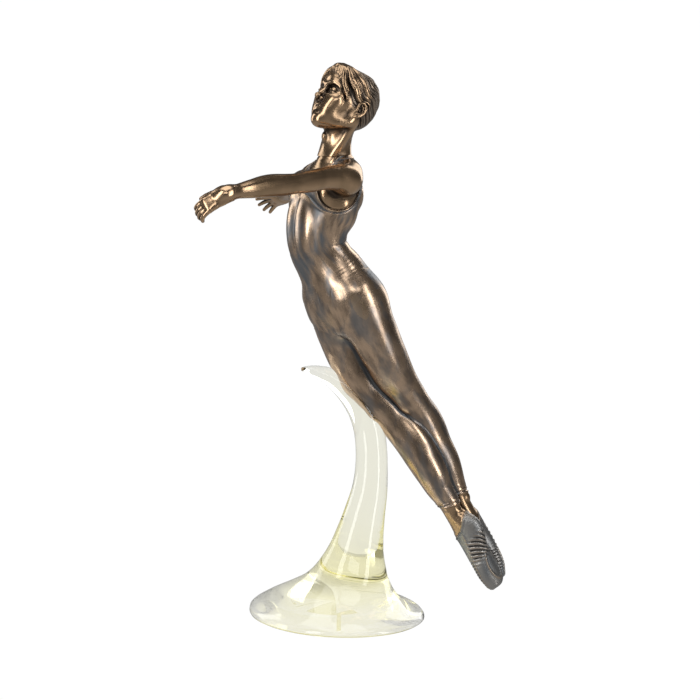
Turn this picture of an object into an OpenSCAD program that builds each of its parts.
// Statuette of a ballet dancer in flight, carried on a clear flared stand.
// Z is up, the stand's rest plane is z = 0 and its foot is centred on the Z axis.
// The dancer faces -X and -Y; the legs trail towards +X.

/* [Stand] */
// Long diameter of the stand's foot
foot_long = 95; // [88:1:104]
// Short diameter of the stand's foot
foot_short = 84; // [76:1:94]
// Thickness of the foot's rounded rim
rim_h = 4; // [3:0.5:5]
// Half thickness of the stem at its slimmest
stem_r = 8.2; // [7.5:0.1:9.5]

/* [Figure] */
// Half breadth of the chest
chest_r = 21; // [19:0.5:23]
// Half breadth of the waist
waist_r = 17; // [15:0.5:18]
// Half breadth of the hips
hip_r = 20.5; // [19:0.5:22]
// Radius of the thighs at their fullest
thigh_r = 12.4; // [11:0.1:13]
// Radius of the knees
knee_r = 9; // [8:0.1:9.6]
// Radius of the calves at their fullest
calf_r = 8.8; // [8:0.1:9.4]
// Radius of the ankles
ankle_r = 4.8; // [4.2:0.1:5.4]
// Radius of the upper arms
arm_r = 4.9; // [4.2:0.1:5.4]
// Radius of the wrists
wrist_r = 3.2; // [2.8:0.1:3.6]
// Half thickness of the closed fingers
finger_r = 1.3; // [1:0.05:1.5]
// How far the head is tipped back, in degrees
head_tilt = 29; // [20:1:34]

/* [Fixings] */
// Diameter of the clear pins between the stand and the leg
stand_pin_d = 3; // [2:0.5:3.5]
// Diameter of the dowels in the neck and hips
body_dowel_d = 3; // [2:0.5:3.5]
// Diameter of the dowels in the shoulders
arm_dowel_d = 2.5; // [2:0.5:3]
// Radial gap left for glue round each pin
glue_gap = 0.05; // [0.03:0.01:0.1]
// Gap left where one limb is seated against another or against the stand
seat_gap = 0.15; // [0.1:0.05:0.3]

/* [Hidden] */

UP = [0, 0, 1];
PIN_FN = 48;
SEAT_LAP = 1; // how far the cones of a seat run into each other
HAIR_TOP = 17.5; // crown of the hair above the head's centre
HEAD = [2.9, -3, 262.3]; // centre of the head
HEAD_HEADING = 38;

// ---------- lofting ----------

// A station is [x, y, z, half_side, half_front, heading, lean]. The heading turns the front
// direction from -X towards -Y; a station with no heading takes UP as its front. A lean
// sets the ring's own tilt from level, towards +X, where the run of stations doesn't.
function unit(v) = v / norm(v);
function at(s) = [s[0], s[1], s[2]];
function facing(a) = [-cos(a), -sin(a), 0];
function front_of(s) = is_undef(s[5]) ? UP : facing(s[5]);
function along(st, i) = is_undef(st[i][6])
    ? unit(at(st[min(i + 1, len(st) - 1)]) - at(st[max(i - 1, 0)]))
    : [sin(st[i][6]), 0, cos(st[i][6])];

function ring(st, i, sides) =
    let (t = along(st, i), side = unit(cross(t, front_of(st[i]))), front = cross(side, t))
    [for (k = [0:sides - 1])
        at(st[i]) + side * st[i][3] * cos(360 * k / sides) + front * st[i][4] * sin(360 * k / sides)];

// One closed skin through a list of stations.
module skin(st, sides = 20) {
    n = len(st);
    points = [for (i = [0:n - 1]) each ring(st, i, sides)];
    walls = [for (i = [0:n - 2], k = [0:sides - 1], half = [0, 1])
        let (a = i * sides + k, b = i * sides + (k + 1) % sides, c = a + sides, d = b + sides)
        half == 0 ? [a, c, b] : [b, c, d]];
    first = [for (k = [0:sides - 1]) k];
    last = [for (k = [0:sides - 1]) n * sides - 1 - k];
    polyhedron(points, concat(walls, [first, last]), convexity = 8);
}

// A round pin from one point to another.
module pin(from, to, d) {
    v = to - from;
    translate(from)
        rotate([0, acos(v[2] / norm(v)), atan2(v[1], v[0])])
            cylinder(d = d, h = norm(v), $fn = PIN_FN);
}

// Everything on the far side of a flat joint, given as [point, direction].
module beyond(joint) {
    v = unit(joint[1]);
    translate(joint[0])
        rotate([0, acos(v[2]), atan2(v[1], v[0])])
            translate([-150, -150, 0]) cube(300);
}

module before(joint) { beyond([joint[0], -joint[1]]); }

// Cones that clear a limb between the listed stations, to seat a neighbour against it.
module clearance(st, stops) {
    for (i = [0:len(stops) - 2]) {
        from = st[stops[i]];
        to = st[stops[i + 1]];
        v = at(to) - at(from);
        translate(at(from) - SEAT_LAP * unit(v))
            rotate([0, acos(v[2] / norm(v)), atan2(v[1], v[0])])
                cylinder(r1 = clear_r(from), r2 = clear_r(to), h = norm(v) + 2 * SEAT_LAP, $fn = PIN_FN);
    }
}

function clear_r(s) = max(s[3], s[4]) + seat_gap;

// ---------- the flat joints ----------

NECK_JOINT = [[-1.7, 0.5, 232], [0.1, -0.18, 1]];
LEFT_SHOULDER_JOINT = [[6.8, -16.4, 222], [0.49, -0.76, 0.42]];
RIGHT_SHOULDER_JOINT = [[-14.4, 16.4, 221], [-0.49, 0.76, 0.42]];
HIP_JOINT = [[4, 0, 154], [0.42, 0.05, -0.9]];

// ---------- the dancer's stations ----------

TRUNK = [
    [4.5, -0.5, 148, 8, 7, 42],
    [3.6, 0, 152.5, 0.82 * hip_r, 13, 42],
    [2.4, 0, 160, hip_r, 16.6, 42],
    [0.4, 0, 168, hip_r, 16.4, 42],
    [-2.6, 0, 175.5, 0.93 * hip_r, 14.5, 40],
    [-6.6, 0, 182.5, 1.03 * waist_r, 13, 38],
    [-9.8, 0, 189, waist_r, 12.9, 36],
    [-10.2, 0, 196, 1.04 * waist_r, 13.1, 34],
    [-9, 0, 203, 0.91 * chest_r, 13.9, 33],
    [-7, 0, 210, 0.98 * chest_r, 14.7, 33],
    [-5.2, 0, 217, chest_r, 14.4, 33],
    [-3.8, 0, 222.5, 0.95 * chest_r, 12.4, 33],
    [-2.8, 0.3, 227, 0.76 * chest_r, 10, 33],
    [-2.2, 0.6, 230.5, 0.55 * chest_r, 8.4, 33],
    [-1.8, 0.7, 233, 8, 7.4, 33]];

RIGHT_LEG = [
    [-7, 9.5, 167, 0.84 * thigh_r, 0.84 * thigh_r, 30],
    [-3, 9.8, 159, 0.98 * thigh_r, thigh_r, 30],
    [0.8, 9.5, 150, thigh_r, 1.03 * thigh_r, 30],
    [4.5, 9, 141.5, 0.97 * thigh_r, 1.02 * thigh_r, 28],
    [8, 8.5, 133, 0.93 * thigh_r, 0.97 * thigh_r, 26],
    [12, 8, 124, 0.86 * thigh_r, 0.9 * thigh_r, 24],
    [18.5, 7.5, 113.5, 1.03 * knee_r, 1.06 * knee_r, 22],
    [25.5, 7, 105, knee_r, 1.04 * knee_r, 20],
    [32, 6, 96.5, 0.93 * knee_r, 0.97 * knee_r, 14],
    [38, 4.8, 89, calf_r, 1.04 * calf_r, 6],
    [43, 4, 82, 0.96 * calf_r, 1.03 * calf_r, 0],
    [48, 4, 73.5, 0.86 * calf_r, 0.94 * calf_r, -6],
    [52, 5, 65.5, 0.73 * calf_r, 0.8 * calf_r, -12],
    [57, 6, 57.5, 1.05 * ankle_r, 1.18 * ankle_r, -18],
    [60, 6.3, 51.5, 0.94 * ankle_r, 1.08 * ankle_r, -24],
    [63, 6, 48, 1.02 * ankle_r, 1.4 * ankle_r, -28],
    [66, 5.4, 44.5, 5, 8.2, -28],
    [68.2, 5.3, 40.5, 5, 8, -28],
    [70, 5.3, 36, 5.2, 7, -28],
    [72.3, 5.5, 31, 5.7, 6.1, -28],
    [75.3, 5.9, 25.5, 6.6, 5.6, -28],
    [78.4, 6.4, 20, 6.8, 5.3, -28],
    [80.9, 6.9, 15.6, 5.9, 4.5, -28],
    [82.6, 7.3, 12.4, 2.8, 2.1, -28]];

LEFT_LEG = [
    [9.5, -9, 168, 0.84 * thigh_r, 0.84 * thigh_r, 50],
    [13.5, -8.5, 160, 0.95 * thigh_r, 0.97 * thigh_r, 50],
    [17.5, -6.5, 149.5, 0.96 * thigh_r, 0.98 * thigh_r, 52],
    [21.5, -4.5, 140, 0.93 * thigh_r, 0.95 * thigh_r, 54],
    [25.5, -2, 131.5, 0.87 * thigh_r, 0.89 * thigh_r, 56],
    [32, 3, 119.5, 1.04 * knee_r, 1.05 * knee_r, 58],
    [36.5, 6, 112, knee_r, 1.03 * knee_r, 60],
    [42, 9, 103.5, 0.93 * knee_r, 0.95 * knee_r, 62],
    [46, 11, 95.5, 0.97 * calf_r, 1.02 * calf_r, 66],
    [49.8, 12.5, 88, 0.95 * calf_r, calf_r, 70],
    [56, 13.6, 77, 0.83 * calf_r, 0.89 * calf_r, 74],
    [60.5, 14.5, 65, 0.64 * calf_r, 0.7 * calf_r, 76],
    [64.4, 15.2, 55.5, 0.95 * ankle_r, 1.06 * ankle_r, 76],
    [67.2, 16, 50, ankle_r, 1.1 * ankle_r, 76],
    [69.8, 17, 46, 4.7, 6, 76],
    [72.4, 17.4, 41.5, 4.8, 6.2, 76],
    [75.8, 17.2, 35.5, 5.1, 5.5, 76],
    [78.6, 16.8, 28.5, 5.8, 4.8, 76],
    [81, 16.4, 22, 6, 4.3, 76],
    [82.5, 16, 17, 5, 3.6, 76],
    [83.4, 15.8, 13.6, 2.4, 1.8, 76]];

LEFT_ARM = [
    [9.5, -12.5, 221, 5.4, 5.8],
    [6.5, -18.5, 223, 6, 6.4],
    [4, -23, 225, 6.6, 6.9],
    [-3, -30, 225.8, 1.12 * arm_r, 1.18 * arm_r],
    [-12, -40, 224.6, 0.96 * arm_r, arm_r],
    [-19, -47.5, 223.8, 0.92 * arm_r, arm_r],
    [-24.5, -52.5, 223.4, 0.92 * arm_r, 1.06 * arm_r],
    [-31, -58.5, 223.2, 0.92 * arm_r, 1.06 * arm_r],
    [-39, -65.5, 222.4, 0.82 * arm_r, 0.92 * arm_r],
    [-46, -71, 221.4, 1.06 * wrist_r, 1.1 * wrist_r],
    [-51.5, -75.4, 220.6, 1.08 * wrist_r, 0.88 * wrist_r],
    [-54.6, -76.8, 218.6, 4.1, 2.8],
    [-57.6, -78, 216.9, 4.9, 2.7],
    [-60.4, -78.8, 215, 4.9, 1.6 * finger_r],
    [-62.7, -79.2, 212.9, 4.5, 1.3 * finger_r],
    [-64.2, -79.3, 211, 3.7, finger_r],
    [-64.9, -79.3, 209.9, 2.2, 0.5 * finger_r]];

RIGHT_ARM = [
    [-9.5, 11.5, 215.5, 5.6, 5.8],
    [-13, 16, 217.5, 6, 6.2],
    [-17, 21, 219.6, 6.4, 6.6],
    [-19.5, 32, 219.4, 1.12 * arm_r, 1.18 * arm_r],
    [-21.5, 45, 218.6, 0.98 * arm_r, arm_r],
    [-23.5, 62, 217, 0.94 * arm_r, arm_r],
    [-25.5, 73, 215, 0.96 * arm_r, arm_r],
    [-27.5, 85, 211.8, 0.82 * arm_r, 0.86 * arm_r],
    [-29.8, 95.5, 208.5, 1.08 * wrist_r, 0.86 * wrist_r],
    [-32, 98.4, 207.5, 4, 2.5],
    [-34.2, 101.5, 206.8, 5, 2.6],
    [-36.3, 104.4, 206.1, 5, 1.6 * finger_r],
    [-38.2, 107.2, 205.5, 4.8, 1.2 * finger_r],
    [-39.8, 109.6, 205, 4, finger_r],
    [-40.7, 110.9, 204.7, 2.2, 0.5 * finger_r]];

// The stand rises from its foot, narrows to the stem and curls forward under the thigh.
STAND = [
    [-0.2, 0, 0, 0.486 * foot_long, 0.483 * foot_short, 45, 0],
    [-0.4, 0, 0.25 * rim_h, foot_long / 2, 0.498 * foot_short, 45, 0],
    [-0.9, 0, 0.7 * rim_h, 0.493 * foot_long, 0.49 * foot_short, 45, 0],
    [-1.7, 0, 1.12 * rim_h, 0.474 * foot_long, 0.47 * foot_short, 45, 0],
    [-2.4, 0, 6.2, 0.444 * foot_long, 0.44 * foot_short, 45, 0],
    [-2.7, 0, 7.8, 39.2, 34.5, 46, 0],
    [-2.5, 0, 9.6, 36, 31.9, 47, 0],
    [-1.4, 0, 11.8, 32.4, 29, 48, 0],
    [1.3, 0, 15.7, 26.7, 24.6, 54, 0],
    [4.1, 0, 19.6, 22, 20.7, 62, 0],
    [7.9, 0.1, 28.6, 16.4, 15.6, 80, 3],
    [11.5, 0.8, 42, 12.3, 11.8, 90, 11],
    [14, 1.8, 53, 1.28 * stem_r, 10.2, 90],
    [16.5, 3, 65, 1.11 * stem_r, 9.2, 90],
    [17.4, 4, 76, 1.01 * stem_r, 8.6, 90],
    [17.3, 5, 86, 0.98 * stem_r, 8.3, 90],
    [16, 6, 96, 0.95 * stem_r, 8, 90],
    [12.8, 6.8, 105, 0.9 * stem_r, 7.8, 90],
    [8, 7.3, 112.5, 0.83 * stem_r, 7.4, 90],
    [2.2, 7.6, 118.4, 0.71 * stem_r, 6.8, 90],
    [-4, 7.7, 122.6, 0.54 * stem_r, 5.8, 90],
    [-10.2, 7.6, 125, 0.38 * stem_r, 4.6, 90],
    [-14.8, 7.5, 126, 0.24 * stem_r, 3.3, 90],
    [-17.4, 7.4, 126.3, 0.13 * stem_r, 1.9, 90],
    [-18.2, 7.4, 126.3, 0.05 * stem_r, 0.8, 90]];

// Ends of the pins and dowels.
THIGH_PIN = [[7.5, 8, 104], [7.5, 8, 126]];
KNEE_PIN = [[19.5, 6.8, 84], [19.5, 6.8, 108]];
NECK_DOWEL = [[-2.2, 0.6, 222], [-0.4, -0.9, 244]];
LEFT_SHOULDER_DOWEL = [[4.9, -9.3, 218.5], [-2, -28.5, 225]];
RIGHT_SHOULDER_DOWEL = [[-8, 10.5, 216], [-18.2, 28, 219]];
LEFT_HIP_DOWEL = [[7, -3.5, 166], [16, -7, 150]];
RIGHT_HIP_DOWEL = [[-4, 5.5, 166], [1.5, 9.5, 148]];

// ---------- rough castings, before their joints are cut ----------

// A point of the head: how far it lies ahead of and above the head's centre.
function head_point(ahead, above) =
    let (f = facing(HEAD_HEADING),
         ahead_axis = f * cos(head_tilt) + UP * sin(head_tilt),
         above_axis = UP * cos(head_tilt) - f * sin(head_tilt))
    HEAD + ahead_axis * ahead + above_axis * above;

function head_station(ahead, above, side, front) =
    concat(head_point(ahead, above), [side, front, HEAD_HEADING]);

HEAD_AND_NECK = [
    [-2.2, 1, 226, 8.6, 8, 33],
    [-1.7, 0.5, 231.5, 8.2, 7.8, 33],
    [-1.1, -0.1, 236.5, 7.4, 7.4, 34],
    [-0.6, -0.9, 241, 7, 7.2, 36],
    head_station(-2.4, -18.6, 7.2, 7.6),
    head_station(0, -16.2, 7.8, 9),
    head_station(1.2, -12.8, 9, 11.2),
    head_station(1.4, -8, 10.8, 13.6),
    head_station(0.8, -2, 12.3, 15.6),
    head_station(0, 4, 13, 16.6),
    head_station(-0.6, 9, 12.4, 15.8),
    head_station(-1, 13, 10.2, 13),
    head_station(-1.2, 0.92 * HAIR_TOP, 6.4, 8.2),
    head_station(-1.4, HAIR_TOP, 2.4, 3)];

module bore(ends, d) { pin(ends[0], ends[1], d + 2 * glue_gap); }

// ---------- the parts ----------

module clear_stand() {
    color([0.93, 0.92, 0.82, 0.45]) difference() {
        skin(STAND, 32);
        clearance(RIGHT_LEG, [2, 5, 8]);
        bore(THIGH_PIN, stand_pin_d);
        bore(KNEE_PIN, stand_pin_d);
    }
}

module thigh_pin() { color([0.93, 0.92, 0.82, 0.45]) pin(THIGH_PIN[0], THIGH_PIN[1], stand_pin_d); }
module knee_pin() { color([0.93, 0.92, 0.82, 0.45]) pin(KNEE_PIN[0], KNEE_PIN[1], stand_pin_d); }

module torso() {
    color([0.33, 0.29, 0.27]) difference() {
        skin(TRUNK, 28);
        beyond(NECK_JOINT);
        beyond(LEFT_SHOULDER_JOINT);
        beyond(RIGHT_SHOULDER_JOINT);
        beyond(HIP_JOINT);
        bore(NECK_DOWEL, body_dowel_d);
        bore(LEFT_SHOULDER_DOWEL, arm_dowel_d);
        bore(RIGHT_SHOULDER_DOWEL, arm_dowel_d);
        bore(LEFT_HIP_DOWEL, body_dowel_d);
        bore(RIGHT_HIP_DOWEL, body_dowel_d);
    }
}

module head() {
    color([0.45, 0.35, 0.25]) difference() {
        skin(HEAD_AND_NECK, 24);
        before(NECK_JOINT);
        bore(NECK_DOWEL, body_dowel_d);
    }
}

module neck_dowel() { color("silver") pin(NECK_DOWEL[0], NECK_DOWEL[1], body_dowel_d); }

module left_arm() {
    color([0.45, 0.35, 0.25]) difference() {
        skin(LEFT_ARM, 16);
        before(LEFT_SHOULDER_JOINT);
        bore(LEFT_SHOULDER_DOWEL, arm_dowel_d);
    }
}

module left_shoulder_dowel() {
    color("silver") pin(LEFT_SHOULDER_DOWEL[0], LEFT_SHOULDER_DOWEL[1], arm_dowel_d);
}

module right_arm() {
    color([0.45, 0.35, 0.25]) difference() {
        skin(RIGHT_ARM, 16);
        before(RIGHT_SHOULDER_JOINT);
        bore(RIGHT_SHOULDER_DOWEL, arm_dowel_d);
    }
}

module right_shoulder_dowel() {
    color("silver") pin(RIGHT_SHOULDER_DOWEL[0], RIGHT_SHOULDER_DOWEL[1], arm_dowel_d);
}

module left_leg() {
    color([0.3, 0.28, 0.27]) difference() {
        skin(LEFT_LEG, 20);
        before(HIP_JOINT);
        clearance(RIGHT_LEG, [0, 5, 8, 11, 14]);
        bore(LEFT_HIP_DOWEL, body_dowel_d);
    }
}

module left_hip_dowel() { color("silver") pin(LEFT_HIP_DOWEL[0], LEFT_HIP_DOWEL[1], body_dowel_d); }

module right_leg() {
    color([0.3, 0.28, 0.27]) difference() {
        skin(RIGHT_LEG, 20);
        before(HIP_JOINT);
        bore(RIGHT_HIP_DOWEL, body_dowel_d);
        bore(THIGH_PIN, stand_pin_d);
        bore(KNEE_PIN, stand_pin_d);
    }
}

module right_hip_dowel() { color("silver") pin(RIGHT_HIP_DOWEL[0], RIGHT_HIP_DOWEL[1], body_dowel_d); }

// ---------- selection ----------

clear_stand();
thigh_pin();
knee_pin();
torso();
head();
neck_dowel();
left_arm();
left_shoulder_dowel();
right_arm();
right_shoulder_dowel();
left_leg();
left_hip_dowel();
right_leg();
right_hip_dowel();
